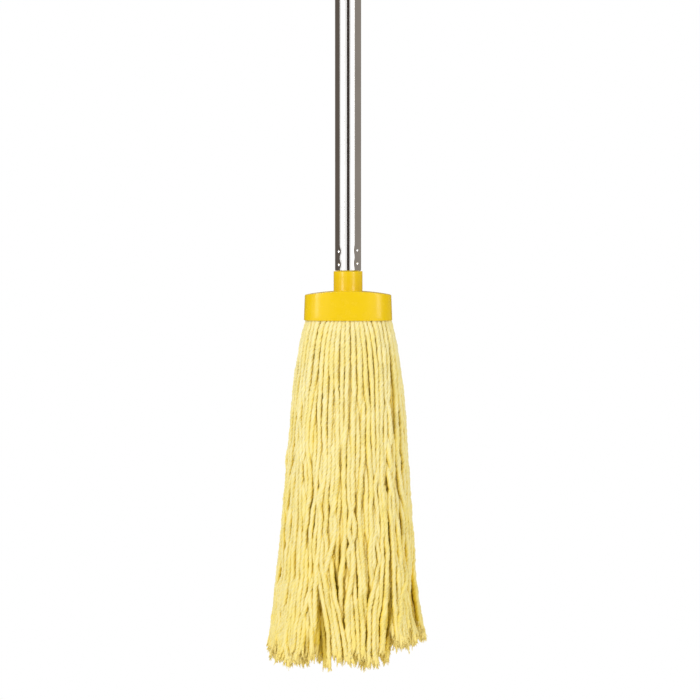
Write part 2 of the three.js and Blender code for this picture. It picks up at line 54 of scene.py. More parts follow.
TAU = 2 * math.pi
TUBE_LOW, TUBE_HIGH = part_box("handle_tube")
FERRULE_LOW, FERRULE_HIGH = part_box("ferrule")
PLUG_LOW, PLUG_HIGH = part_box("cap_plug")
TIP_LOW, TIP_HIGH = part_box("threaded_tip")
EYE_LOW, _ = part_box("hanging_eye")
BAR_LOW, BAR_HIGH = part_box("yarn_bar_front")
BAR_OFFSET = abs(BAR_LOW.y + BAR_HIGH.y) / 2

MOUTH = FERRULE_LOW.z
COLLAR_TOP = FERRULE_HIGH.z
TUBE_RADIUS = TUBE_HIGH.x
TUBE_WALL = 0.0009
TUBE_END = TUBE_LOW.z
TUBE_TUCK = 0.0006
TUBE_TUCK_HEIGHT = 0.0016
TUBE_RIM = (0.0003, 0.0004)  # bevel of the upper rim, across and along

DIMPLE_ANGLES = [math.radians(a) for a in (45, 135, 225, 315)]
DIMPLE_HEIGHTS = (0.0067, 0.0195)
DIMPLE_STAGGER = 0.0006
DIMPLE_RADIUS = 0.0016
DIMPLE_DEPTH = 0.0008
HOLLOW_RADIUS = 0.0024  # of the shallow hollow round each dimple
HOLLOW_DEPTH = 0.0004

COLLAR_RADIUS = 0.0141
COLLAR_HEIGHT = 0.0194
SHELL_POWER = 3.2
SHELL_MOUTH = (0.0431, 0.0287)
SHELL_SHOULDER = (0.0422, 0.0281)
SHELL_WALL = 0.0022
ROOF_RISE = 0.0038
ROOF_EDGE = 0.0008
SEAT_HALF_DEPTH = 0.0175  # moulded seats that hold the yarn bars
SEAT_SPAN = (0.030, 0.0365)
SLOT_RADIUS = 0.0023
BAR_RADIUS = 0.0020
ROOF_MIDDLE = COLLAR_TOP - COLLAR_HEIGHT
SIDE_TOP = ROOF_MIDDLE - ROOF_RISE

THREAD_PITCH = 0.00508
THREAD_CREST = 0.0095
THREAD_ROOT = 0.0079
THREAD_CLEARANCE = 0.00035
SHANK_RADIUS = 0.0115
TIP_BORE = 0.0045
EYE_VOXEL = 0.00035  # fineness of the skin that joins the eye's ring and stem

STRAND_RADIUS = 0.0026
STRAND_TOP = 0.006  # start of each strand, above the mouth
MOUTH_SPACING = 0.0042  # between neighbouring strands at the mouth
RING_STEP = 0.105  # between rings of strands at the mouth, as a share of its size
CORE_SHARE = 0.42  # strands nearer to the axis than this hang as the core
FINE_SHARE = 0.7  # strands further out than this have a finer mesh
CORD_SHARE = 0.8  # strands further out than this may be cords
END_SCATTER, MOST_SCATTER = 0.009, 0.024  # how much shorter than the hem a strand may be
CORE_SHORTER = 0.012
PLY_COUNT = 4
TWIST_PITCH = 0.019
TUFT_LENGTH = 0.013
TUFT_OVERLAP = 0.005  # of the loose plies with the strand's twisted body
TUFT_REACH = 0.0040  # how far loose fibres stray from the strand's axis
FIBRES_PER_PLY = 6
LOOP_STEP = 0.0015  # between the rings of the folded yarn
CORD_COUNT = 40
BUNDLES = ("right", "back_right", "back", "back_left", "left", "front_left", "front", "front_right")

SPREAD_DEPTH = 0.16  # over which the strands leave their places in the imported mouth
FAN_DEPTH = 0.20  # over which they begin to lean and sway
STRAY_CHANCE, STRAY_FROM = 0.16, 0.75  # of strands further out than this to lean far
STRAY_LEAN, LEAN = 0.26, 0.06
SWAYS = ((0.10, 0.090, 1), (0.05, 0.036, 2))  # wave, size and random seed
RIPPLES = ((0.011, 0.0005, 8), (0.023, 0.0008, 10))
SPLAY_START, SPLAY_LENGTH = 0.22, 0.11  # depths over which the ends bend apart
CLUMPS = 34  # groups of strands whose ends bend the same way
CLUMP_BEND, OWN_BEND = 0.012, 0.0035
ROOM = ((0, 0.03, 0.2), (0.80, 0.88, 0.94))  # distance of neighbours over the depth, in thicknesses
RELAX_STEPS = 70

# Outline of the yarn: depth below the mouth, half width, half depth and squareness.
SKIRT = np.array([
    (-0.012, 0.0409, 0.0265, 3.2),
    (0.000, 0.0412, 0.0268, 3.2),
    (0.002, 0.0441, 0.0290, 3.1),
    (0.008, 0.0467, 0.0313, 2.9),
    (0.023, 0.0494, 0.0343, 2.6),
    (0.055, 0.0535, 0.0376, 2.4),
    (0.110, 0.0586, 0.0415, 2.3),
    (0.175, 0.0627, 0.0450, 2.3),
    (0.235, 0.0675, 0.0490, 2.3),
    (0.290, 0.0734, 0.0530, 2.3),
    (0.312, 0.0780, 0.0557, 2.3),
    (0.345, 0.0800, 0.0574, 2.3),
])

# How far down the longest strands reach, against their place from left to right.
HEM = np.array([
    (-0.080, 0.332),
    (-0.068, 0.340),
    (-0.034, 0.3445),
    (0.000, 0.3435),
    (0.036, 0.341),
    (0.043, 0.330),
    (0.080, 0.321),
])

# Sideways drift of the whole skirt against the depth.
DRIFT = np.array([
    (0.000, 0.0004),
    (0.100, 0.0000),
    (0.175, -0.0010),
    (0.270, -0.0022),
    (0.310, -0.0006),
    (0.345, -0.0003),
])

# -------- camera and light

VIEW_WIDTH = 0.684  # metres that the picture spans at the mop
VIEW_CENTRE = Vector((0.0019, 0, COLLAR_TOP - 0.0771))
VIEW_DISTANCE = 3.2
VIEW_ELEVATION = math.radians(2.2)
SENSOR = 36.0
FLOOR = MOUTH - 0.60  # the mop hangs above it
ONLY_GLOW = {"Specular IOR Level": 0, "Emission Strength": 1}


def aimed_object(name, data, location, target):
    """Object at a location, turned to look at a target."""
    obj = bpy.data.objects.new(name, data)
    obj.location = location
    obj.rotation_euler = (target - obj.location).to_track_quat("-Z", "Y").to_euler()
    bpy.context.scene.collection.objects.link(obj)
    return obj


def add_camera():
    data = bpy.data.cameras.new("camera")
    data.sensor_width = SENSOR
    data.lens = SENSOR * VIEW_DISTANCE / VIEW_WIDTH
    back = Vector((0, -math.cos(VIEW_ELEVATION), math.sin(VIEW_ELEVATION)))
    camera = aimed_object("camera", data, VIEW_CENTRE + back * VIEW_DISTANCE, VIEW_CENTRE)
    bpy.context.scene.camera = camera


def around(azimuth, distance, height):
    """Point at an azimuth round the mop's axis: 0 is in front of it, 90 to the right."""
    angle = math.radians(azimuth)
    return Vector((distance * math.sin(angle), -distance * math.cos(angle), height))


def add_area_light(name, azimuth, distance, height, size, power):
    data = bpy.data.lights.new(name, "AREA")
    data.shape = "RECTANGLE"
    data.size, data.size_y = size
    data.energy = power
    aimed_object(name, data, around(azimuth, distance, height), Vector((0, 0, MOUTH - 0.15)))


def add_world(fill, shine):
    """White studio whose fill light is weaker than the white that is seen and reflected."""
    world = bpy.data.worlds.new("studio")
    world.use_nodes = True
    tree = world.node_tree
    background = tree.nodes["Background"]
    set_inputs(background, {"Color": (1, 1, 1, 1)})
    rays = add_node(tree, "LightPath").outputs
    seen = add_node(tree, "Math", sources={0: rays["Is Camera Ray"], 1: rays["Is Glossy Ray"]})
    seen.operation = "MAXIMUM"
    link(tree, remap(tree, seen.outputs["Value"], fill, shine, 0, 1), background.inputs["Strength"])
    bpy.context.scene.world = world


def add_flag(name, azimuths, grey):
    """Curved card with a foot over the floor, from one azimuth to another. It shows only in
    reflections."""
    steps = 12
    profile = ((0.12, FLOOR + 0.01), (2.0, FLOOR + 0.01), (2.0, 1.2))
    vertices, faces = [], []
    for step in range(steps + 1):
        azimuth = azimuths[0] + (azimuths[1] - azimuths[0]) * step / steps
        vertices += [around(azimuth, distance, height) for distance, height in profile]
    for first in range(0, 3 * steps, 3):
        for a in (first, first + 1):
            faces.append((a, a + 3, a + 4, a + 1))
    card = new_object(name, vertices, [faces], smooth=False)
    black_glow = {"Base Color": (0, 0, 0, 1), "Emission Color": (*grey, 1), **ONLY_GLOW}
    card.data.materials.append(new_material(name, black_glow)[0])
    card.visible_camera = False
    card.visible_diffuse = False
    card.visible_shadow = False
    card.visible_transmission = False


def add_floor():
    """Pale round floor under the hanging mop, which fades into the white studio at its rim."""
    radius, sides, rings = 1.5, 96, 12
    rows = circle_rows([(radius * (ring + 1) / rings, FLOOR) for ring in range(rings)][::-1], sides)
    centre = rings * sides
    points = np.concatenate([rows.reshape(-1, 3), [(0, 0, FLOOR)]])
    fan = [(centre, centre - sides + i, centre - sides + (i + 1) % sides) for i in range(sides)]
    floor = new_object("floor", points, [grid_faces(rings, sides), fan])
    material, tree, shader = new_material("floor", {"Roughness": 0.9, **ONLY_GLOW})
    place = add_node(tree, "TexCoord").outputs["Object"]
    flat = add_node(tree, "VectorMath", {1: (1, 1, 0)}, {0: place})
    flat.operation = "MULTIPLY"
    away = add_node(tree, "VectorMath", sources={0: flat.outputs["Vector"]})
    away.operation = "LENGTH"
    fade = remap(tree, away.outputs["Value"], 0, 1, radius * 0.4, radius)
    grain = remap(tree, object_noise(tree, 30, 4), 0, 1)
    pale = mix_colors(tree, grain, (0.90, 0.90, 0.90), (0.94, 0.94, 0.94))
    link(tree, mix_colors(tree, fade, pale, (0, 0, 0)), shader.inputs["Base Color"])
    link(tree, mix_colors(tree, fade, (0, 0, 0), (1, 1, 1)), shader.inputs["Emission Color"])
    floor.data.materials.append(material)


def light_the_studio():
    add_world(0.77, 1.0)
    add_floor()
    add_flag("flag_camera", (-11, 14), (0.05, 0.04, 0.035))
    add_flag("flag_left", (-150, -78), (0.12, 0.10, 0.085))
    add_flag("flag_right", (61, 150), (0.28, 0.25, 0.22))
    add_flag("flag_back", (150, 210), (0.16, 0.13, 0.10))
    add_area_light("softbox_left", -46, 1.7, MOUTH + 0.7, (0.5, 1.6), 15)
    add_area_light("softbox_right", 44, 1.7, MOUTH + 0.6, (0.5, 1.6), 10)
    add_area_light("softbox_back", 190, 1.7, MOUTH + 1.3, (0.9, 0.9), 10)
    bpy.context.scene.view_settings.view_transform = "Standard"


# -------- mesh helpers

def new_object(name, vertices, faces, smooth=True):
    """Mesh object from an array of points and arrays of quads or triangles."""
    vertices = np.asarray(vertices, np.float32).reshape(-1, 3)
    mesh = bpy.data.meshes.new(name)
    mesh.vertices.add(len(vertices))
    mesh.vertices.foreach_set("co", vertices.ravel())
    corners = np.concatenate([np.asarray(f, np.int32).ravel() for f in faces])
    sizes = np.concatenate([np.full(len(f), np.shape(f)[1], np.int32) for f in faces])
    starts = np.concatenate([[0], np.cumsum(sizes)[:-1]]).astype(np.int32)
    mesh.loops.add(len(corners))
    mesh.loops.foreach_set("vertex_index", corners)
    mesh.polygons.add(len(sizes))
    mesh.polygons.foreach_set("loop_start", starts)
    mesh.polygons.foreach_set("use_smooth", np.full(len(sizes), smooth))
    mesh.update(calc_edges=True)
    obj = bpy.data.objects.new(name, mesh)
    bpy.context.scene.collection.objects.link(obj)
    return obj


def grid_faces(rows, columns, close_rows=False):
    """Quads between rows of points that each close on themselves. They face out when the points
    go round anticlockwise and the rows go up."""
    last_row = rows if close_rows else rows - 1
    row, column = np.meshgrid(np.arange(last_row), np.arange(columns), indexing="ij")
    below, above = row * columns, (row + 1) % rows * columns
    after = (column + 1) % columns
    quads = np.stack([below + column, below + after, above + after, above + column], -1)
    return quads.reshape(-1, 4)


def closed_object(name, rings):
    """Mesh object from rings of points, of which the last is joined to the first."""
    return new_object(name, rings, [grid_faces(*rings.shape[:2], close_rows=True)])


def end_fans(rows, columns):
    """Triangles from the first and the last row to two centre points that follow the rows."""
    column = np.arange(columns)
    after = (column + 1) % columns
    bottom, top = rows * columns, rows * columns + 1
    last = (rows - 1) * columns
    low = np.stack([np.full(columns, bottom), after, column], -1)
    high = np.stack([np.full(columns, top), last + column, last + after], -1)
    return np.concatenate([low, high])


def set_vectors(obj, name, values):
    """Store a vector at each point of an object, for its material to read."""
    attribute = obj.data.attributes.new(name, "FLOAT_VECTOR", "POINT")
    attribute.data.foreach_set("vector", np.asarray(values, np.float32).ravel())


def select_only(*objects):
    bpy.ops.object.select_all(action="DESELECT")
    for obj in objects:
        obj.select_set(True)
    bpy.context.view_layer.objects.active = objects[0]


def around_axis(radius, angle, height):
    """Points round the Z axis, anticlockwise from the right."""
    x, y = radius * np.cos(angle), radius * np.sin(angle)
    return np.stack([x, y, np.broadcast_to(height, x.shape)], -1)


def circle_angles(columns):
    return np.arange(columns) / columns * TAU


def circle_rows(radii_and_heights, columns):
    """Rings round the Z axis, one for each (radius, height)."""
    angle = circle_angles(columns)
    return np.array([around_axis(radius, angle, height) for radius, height in radii_and_heights])


def quarter(centre, radius, start, steps=4):
    """Points on a quarter circle in a profile, from an angle in degrees, anticlockwise."""
    r0, z0 = centre
    angles = np.radians(np.linspace(start, start + 90, steps + 1))
    return [(r0 + radius * math.cos(a), z0 + radius * math.sin(a)) for a in angles]


def unit(vectors):
    return vectors / np.linalg.norm(vectors, axis=-1, keepdims=True)


def smooth_step(x):
    x = np.clip(x, 0, 1)
    return x * x * (3 - 2 * x)


# -------- materials

METAL = {"Metallic": 1}


def set_inputs(node, constants):
    for name, value in constants.items():
        node.inputs[name].default_value = value


def new_material(name, constants):
    """Material with its node tree and shader, whose inputs in constants are the same all over."""
    material = bpy.data.materials.new(name)
    material.use_nodes = True
    shader = material.node_tree.nodes["Principled BSDF"]
    set_inputs(shader, constants)
    return material, material.node_tree, shader


def link(tree, source, target):
    tree.links.new(source, target)


def add_node(tree, kind, constants=None, sources=None):
    """Node with constants on some of its inputs and other nodes' outputs on others."""
    node = tree.nodes.new("ShaderNode" + kind)
    set_inputs(node, constants or {})
    for name, source in (sources or {}).items():
        link(tree, source, node.inputs[name])
    return node


def add_noise(tree, place, scale, detail, stretch=(1, 1, 1)):
    """Noise over a vector that another node gives, stretched along its axes."""
    mapping = add_node(tree, "Mapping", {"Scale": stretch}, {"Vector": place})
    look = {"Scale": scale, "Detail": detail}
    noise = add_node(tree, "TexNoise", look, {"Vector": mapping.outputs["Vector"]})
    return noise.outputs["Fac"]


def object_noise(tree, *look):
    """Noise in the object's own space."""
    return add_noise(tree, add_node(tree, "TexCoord").outputs["Object"], *look)


def stored_vectors(tree, name):
    """What set_vectors stored at the points of the object."""
    node = add_node(tree, "Attribute")
    node.attribute_name = name
    return node.outputs["Vector"]


def remap(tree, value, low, high, from_low=0.3, from_high=0.7):
    limits = {"From Min": from_low, "From Max": from_high, "To Min": low, "To Max": high}
    return add_node(tree, "MapRange", limits, {"Value": value}).outputs["Result"]


def mix_colors(tree, share, first, second):
    """Colour between two colours, each a tuple or another node's output."""
    node = tree.nodes.new("ShaderNodeMix")
    node.data_type = "RGBA"
    link(tree, share, node.inputs["Factor"])
    for value, socket in ((first, node.inputs["A"]), (second, node.inputs["B"])):
        if isinstance(value, tuple):
            socket.default_value = (*value, 1)
        else:
            link(tree, value, socket)
    return node.outputs["Result"]


def add_bump(tree, shader, height, distance, strength):
    bump = add_node(tree, "Bump", {"Distance": distance, "Strength": strength}, {"Height": height})
    link(tree, bump.outputs["Normal"], shader.inputs["Normal"])


def mottled_material(name, constants, clouds, colors, gloss, roughness, grain, relief):
    """Material with clouds of two colours, uneven gloss and a fine relief, each with its own noise."""
    material, tree, shader = new_material(name, constants)
    tint = mix_colors(tree, remap(tree, object_noise(tree, *clouds), 0, 1), *colors)
    link(tree, tint, shader.inputs["Base Color"])
    link(tree, remap(tree, object_noise(tree, *gloss), *roughness), shader.inputs["Roughness"])
    add_bump(tree, shader, object_noise(tree, *grain), *relief)
    return material


def chrome_material():
    """Polished tube: faint drawing lines along it, and a few cloudy finger marks."""
    marks, lines = (22, 4), (900, 2, (1, 1, 0.01))
    colors = (0.90, 0.89, 0.87), (0.82, 0.81, 0.79)
    return mottled_material(
        "chromed_steel", METAL, marks, colors, marks, (0.035, 0.11), lines, (0.000004, 0.35))


def zinc_material():
    """Galvanised steel: dull grey with blotches."""
    blotches = (400, 3)
    colors = (0.62, 0.64, 0.66), (0.42, 0.44, 0.46)
    return mottled_material(
        "zinc_steel", METAL, blotches, colors, blotches, (0.32, 0.55), blotches, (0.00002, 0.4))


def plastic_material(name, deep, pale, roughness, subsurface=0.0):
    """Moulded plastic: slight colour clouds, uneven gloss and a fine eroded-mould grain."""
    plastic = {
        "Specular IOR Level": 0.34,
        "Subsurface Weight": subsurface,
        "Subsurface Radius": (0.003, 0.0015, 0.0004),
        "Subsurface Scale": 1,
    }
    glossy = roughness - 0.05, roughness + 0.07
    return mottled_material(
        name, plastic, (35, 3), (deep, pale), (160, 4), glossy, (2600, 2), (0.00002, 0.25))


def yarn_material():
    """Twisted cotton: fibres that run with the plies, a tone for each strand, and painted golden shade
    in the grooves and where the yarn lies in shade.
    """
    material, tree, shader = new_material("cotton_yarn", {
        "Roughness": 0.95,
        "Specular IOR Level": 0.05,
        "Sheen Weight": 0.05,
        "Sheen Roughness": 0.5,
        "Sheen Tint": (1, 0.88, 0.55, 1),
    })
    fibre, look = stored_vectors(tree, "fibre"), stored_vectors(tree, "look")
    # look holds each point's tone, its painted shade in the ply grooves and its painted shade from
    # depth, facing and the hem.
    parts = add_node(tree, "SeparateXYZ", sources={"Vector": look}).outputs
    tone, groove, shade = (parts[axis] for axis in "XYZ")
    fibres = add_noise(tree, fibre, 1500, 3, (1, 1, 0.12))
    slubs = add_noise(tree, fibre, 150, 3, (1, 1, 0.5))
    pale, warm, bleached = (0.825, 0.75, 0.43), (0.80, 0.70, 0.33), (0.86, 0.80, 0.52)
    ochre, golden, honey = (0.82, 0.70, 0.23), (0.82, 0.66, 0.13), (0.85, 0.61, 0.02)
    by_strand = mix_colors(tree, tone, warm, pale)
    by_slub = mix_colors(tree, remap(tree, slubs, 0, 0.7), by_strand, bleached)
    by_fibre = mix_colors(tree, remap(tree, fibres, 0.4, 0), by_slub, ochre)
    stains = object_noise(tree, 70, 2.0, (1, 1, 0.4))
    by_stain = mix_colors(tree, remap(tree, stains, 0, 0.35, 0.48, 0.66), by_fibre, golden)
    # Painted shade: golden in the grooves between plies, honey where the yarn lies deep in the skirt,
    # turns away from its outside or hangs near the hem.
    by_groove = mix_colors(tree, groove, by_stain, golden)
    by_depth = mix_colors(tree, shade, by_groove, honey)
    link(tree, by_depth, shader.inputs["Base Color"])
    add_bump(tree, shader, fibres, 0.0003, 0.8)
    return material


def finish_piece(obj, material, slot, body, *nodes):
    """Give a piece its material and body, and let it stand for its CAD nodes. Its slot is not used."""
    obj.data.materials.clear()
    obj.data.materials.append(material)
    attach(obj, body)
    if nodes:
        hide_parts(*nodes)
    return obj


# -------- handle

def dimple_sink(angle, height):
    """How far the tube's wall is punched in at each point, by the crimping dimples."""
    sink = np.zeros(np.broadcast(angle, height).shape)
    for level in DIMPLE_HEIGHTS:
        for centre in DIMPLE_ANGLES:
            stagger = DIMPLE_STAGGER * math.copysign(1, math.cos(centre))
            across = TUBE_RADIUS * np.angle(np.exp(1j * (angle - centre)))
            along = height - TUBE_END - level - stagger
            away = np.hypot(across, along)
            sink += HOLLOW_DEPTH * np.exp(-0.5 * (away / HOLLOW_RADIUS) ** 2)
            sink += DIMPLE_DEPTH * np.clip(1 - (away / DIMPLE_RADIUS) ** 2, 0, 1) ** 1.5
    return sink


def make_tube(material):
    columns = 240
    fine_top = TUBE_END + 0.030
    heights = np.concatenate([
        np.linspace(TUBE_END + TUBE_TUCK_HEIGHT, fine_top, 90),
        np.linspace(fine_top, TUBE_HIGH.z - TUBE_RIM[1], 40)[1:],
    ])
    angle = circle_angles(columns)
    sink = dimple_sink(angle[None, :], heights[:, None])
    outer = TUBE_RADIUS - sink
    inner = TUBE_RADIUS - TUBE_WALL - sink
    rows = []
    for turn in np.linspace(0, math.pi / 2, 7):  # the lower rim, rolled inwards
        radius = TUBE_RADIUS - TUBE_TUCK * (1 - math.sin(turn))
        rows.append((radius, TUBE_END + TUBE_TUCK_HEIGHT * (1 - math.cos(turn))))
    rows += zip(outer[1:], heights[1:])
    rows += [(TUBE_RADIUS - TUBE_RIM[0], TUBE_HIGH.z), (TUBE_RADIUS - TUBE_WALL, TUBE_HIGH.z)]
    rows += zip(inner[::-1], heights[::-1])
    rows.append((TUBE_RADIUS - TUBE_WALL - TUBE_TUCK, TUBE_END))
    tube = closed_object("tube", circle_rows(rows, columns))
    return finish_piece(tube, material, "chromed_steel", "handle", "handle_tube")


def thread_share(angle, height):
    """How far each point is up the thread's ridge, from 0 at the root to 1 at the crest."""
    phase = np.mod((height - COLLAR_TOP) / THREAD_PITCH - angle / TAU, 1.0)
    rise = np.clip(phase / 0.22, 0, 1)
    fall = np.clip((0.72 - phase) / 0.22, 0, 1)
    return smooth_step(np.minimum(rise, fall))


def make_tip(material):
    columns = 96
    angle = circle_angles(columns)
    bottom = TIP_LOW.z
    heights = np.arange(bottom + 0.0002, TUBE_END, 0.00026)
    ridge = thread_share(angle[None, :], heights[:, None])
    lead = np.clip((heights - bottom) / 0.0026, 0, 1)[:, None]
    radius = THREAD_ROOT + (THREAD_CREST - THREAD_ROOT) * np.minimum(ridge, lead)
    thread = around_axis(radius, angle, heights[:, None])
    nose = [(TIP_BORE, bottom), (THREAD_ROOT - 0.0004, bottom)]
    shank = [
        (SHANK_RADIUS - TUBE_TUCK, TUBE_END),
        (SHANK_RADIUS - TUBE_TUCK, TUBE_END + 0.0020),
        (SHANK_RADIUS - 0.0006, TUBE_END + 0.0026),
        (SHANK_RADIUS - 0.0006, TIP_HIGH.z - 0.0010),
        (SHANK_RADIUS - 0.0016, TIP_HIGH.z),
        (TIP_BORE, TIP_HIGH.z),
    ]
    rows = [circle_rows(nose, columns), thread, circle_rows(shank, columns)]
    tip = closed_object("tip", np.concatenate(rows))
    return finish_piece(tip, material, "natural_nylon", "handle", "threaded_tip")


def make_plug(material):
    """Plug in the top of the tube, with a domed flange over the rim."""
    flange = PLUG_HIGH.x
    under = TUBE_HIGH.z + 0.0003
    body = SHANK_RADIUS
    bore = 0.0039
    profile = [(bore + 0.0004, PLUG_LOW.z), (body - 0.001, PLUG_LOW.z), (body, PLUG_LOW.z + 0.001)]
    profile += [(body, under - 0.0002), (body + 0.0003, under)]
    profile += quarter((flange - 0.0004, under + 0.0004), 0.0004, -90, 3)
    profile += [(flange, PLUG_HIGH.z - 0.0014)]
    profile += quarter((flange - 0.0014, PLUG_HIGH.z - 0.0014), 0.0014, 0, 5)[1:]
    profile += [(bore + 0.0025, PLUG_HIGH.z)]
    profile += quarter((bore + 0.0005, PLUG_HIGH.z - 0.0005), 0.0005, 90, 3)
    profile += [(bore, PLUG_LOW.z + 0.0004)]
    plug = closed_object("plug", circle_rows(profile, 128))
    return finish_piece(plug, material, "yellow_plastic", "handle", "cap_plug")


# -------- hanging eye

def squarish(x):
    """Turns the cosine and sine of a circle into those of a square with round corners."""
    return np.sign(x) * np.abs(x) ** (2 / 3.5)


def make_eye(material):
    """Ring, neck and stem moulded as one, with a soft fillet where the ring meets the neck."""
    ring_radius, half_height, half_thickness = 0.0100, 0.0030, 0.0025
    section = circle_angles(28)
    turn = circle_angles(96)
    reach = ring_radius + half_height * squarish(np.cos(section))
    points = np.stack([
        np.outer(np.cos(turn), reach),
        np.tile(half_thickness * squarish(np.sin(section)), (len(turn), 1)),
        np.outer(np.sin(turn), reach),
    ], -1)
    ring = closed_object("eye_ring", points)
    neck_top, neck_bottom = -0.0094, PLUG_HIGH.z + 0.0003
    neck = [(0.0042, neck_top), (0.0044, -0.0118), (0.0050, -0.0150), (0.0058, -0.0178)]
    neck += [(0.0060, neck_bottom + 0.0006), (0.0055, neck_bottom)]
    neck += [(0.0036, neck_bottom), (0.0036, EYE_LOW.z + 0.0008), (0.0028, EYE_LOW.z)]
    neck.reverse()
    columns = 48
    rows = circle_rows(neck, columns)
    ends = [(0, 0, EYE_LOW.z), (0, 0, neck_top)]
    faces = [grid_faces(len(rows), columns), end_fans(len(rows), columns)]
    stem = new_object("eye_stem", np.concatenate([rows.reshape(-1, 3), ends]), faces)
    join_with_fillet(ring, stem)
    ring.name = "eye"
    return finish_piece(ring, material, "yellow_plastic", "hanger", "hanging_eye")


def join_with_fillet(first, second):
    """Merge two overlapping pieces into one skin and soften the crease between them."""
    select_only(first, second)
    bpy.ops.object.join()
    skin = first.modifiers.new("skin", "REMESH")
    skin.mode = "VOXEL"
    skin.voxel_size = EYE_VOXEL
    skin.use_smooth_shade = True
    soften = first.modifiers.new("soften", "SMOOTH")
    soften.factor = 0.5
    soften.iterations = 6
    bpy.ops.object.modifier_apply(modifier="skin")
    bpy.ops.object.modifier_apply(modifier="soften")


# -------- ferrule

def oval_reach(half_width, half_depth, power, angle):
    """Distance from the axis to a superellipse in each direction."""
    across = np.abs(np.cos(angle) / half_width) ** power
    along = np.abs(np.sin(angle) / half_depth) ** power
    return (across + along) ** (-1 / power)


def oval_ring(half_width, half_depth, angle, height):
    return around_axis(oval_reach(half_width, half_depth, SHELL_POWER, angle), angle, height)


def arch(x):
    """The roof's height over its edge: an arch from left to right."""
    return ROOF_RISE * (1 - (x / SHELL_SHOULDER[0]) ** 2)


def arched_ring(inset, angle, height):
    ring = oval_ring(SHELL_SHOULDER[0] - inset, SHELL_SHOULDER[1] - inset, angle, height)
    ring[:, 2] += arch(ring[:, 0])
    return ring


def roof_rows(angle, inset, hub_radius, height, steps):
    """Rings over the roof from its oval edge to a round hub."""
    edge = arched_ring(inset, angle, height)
    hub = around_axis(hub_radius, angle, 0.0)
    rows = []
    for step in range(1, steps + 1):
        ring = edge + (hub - edge) * (step / steps)
        ring[:, 2] = height + arch(ring[:, 0])
        rows.append(ring)
    return rows


def shell_outside(angle):
    """Rings from the mouth's rim up the side and over the roof to the collar's foot."""
    rim = 0.0007
    wide, deep = SHELL_MOUTH
    rows = []
    for turn in np.radians([-90, -60, -30, 0]):
        out = rim * (1 - math.cos(turn))
        rows.append(oval_ring(wide - out, deep - out, angle, MOUTH + rim * (1 + math.sin(turn))))
    side_top = SIDE_TOP - ROOF_EDGE
    for share in np.linspace(0, 1, 9)[1:]:
        size = [low + (high - low) * share for low, high in zip(SHELL_MOUTH, SHELL_SHOULDER)]
        ring = oval_ring(*size, angle, MOUTH + rim)
        top = side_top + arch(ring[:, 0])
        ring[:, 2] += (top - ring[:, 2]) * share
        rows.append(ring)
    for turn in np.radians([18, 36, 54, 72, 90]):
        inset = ROOF_EDGE * (1 - math.cos(turn))
        rows.append(arched_ring(inset, angle, side_top + ROOF_EDGE * math.sin(turn)))
    fillet = 0.0009
    rows += roof_rows(angle, ROOF_EDGE, COLLAR_RADIUS + fillet, SIDE_TOP, 10)
    foot = rows[-1][:, 2]
    for turn in np.radians([30, 60, 90]):
        radius = COLLAR_RADIUS + fillet * (1 - math.sin(turn))
        height = foot + fillet * (1 - math.cos(turn))
        rows.append(around_axis(radius, angle, height))
    return rows


def collar_rows(angle):
    """Rings up the collar, over its top and down the threaded bore."""
    edge = 0.0007
    profile = [(COLLAR_RADIUS, COLLAR_TOP - 0.006), (COLLAR_RADIUS, COLLAR_TOP - edge)]
    profile += quarter((COLLAR_RADIUS - edge, COLLAR_TOP - edge), edge, 0, 4)[1:]
    profile += [(THREAD_CREST + 0.0016, COLLAR_TOP), (THREAD_CREST + 0.0010, COLLAR_TOP - 0.0004)]
    rows = list(circle_rows(profile, len(angle)))
    for height in np.arange(COLLAR_TOP - 0.0007, ROOF_MIDDLE - SHELL_WALL, -0.0003):
        ridge = thread_share(angle, height)
        radius = THREAD_ROOT + THREAD_CLEARANCE + (THREAD_CREST - THREAD_ROOT) * ridge
        rows.append(around_axis(radius, angle, height))
    return rows


def shell_inside(angle):
    """Rings from the foot of the bore under the roof and down the inner wall to the rim."""
    under = SIDE_TOP - SHELL_WALL
    inset = SHELL_WALL + ROOF_EDGE
    rows = roof_rows(angle, inset, THREAD_CREST + 0.0012, under, 8)[::-1]
    rows.append(arched_ring(inset, angle, under))
    rows.append(arched_ring(SHELL_WALL, angle, under - ROOF_EDGE))
    wide, deep = SHELL_MOUTH[0] - SHELL_WALL, SHELL_MOUTH[1] - SHELL_WALL
    for flare, height in ((0, 0.012), (0, 0.0007), (0.0002, 0.0002), (0.0006, 0)):
        rows.append(oval_ring(wide + flare, deep + flare, angle, MOUTH + height))
    return rows


def make_ferrule(material):
    columns = 256
    angle = circle_angles(columns)
    rows = np.array(shell_outside(angle) + collar_rows(angle) + shell_inside(angle))
    points = rows.reshape(-1, 3)
    seat_points, seat_faces = bar_seats(len(points))
    faces = [grid_faces(len(rows), columns, close_rows=True), seat_faces]
    ferrule = new_object("ferrule_shell", np.concatenate([points, seat_points]), faces)
    sharpen(ferrule, 50)
    return finish_piece(ferrule, material, "yellow_plastic", "head", "ferrule")


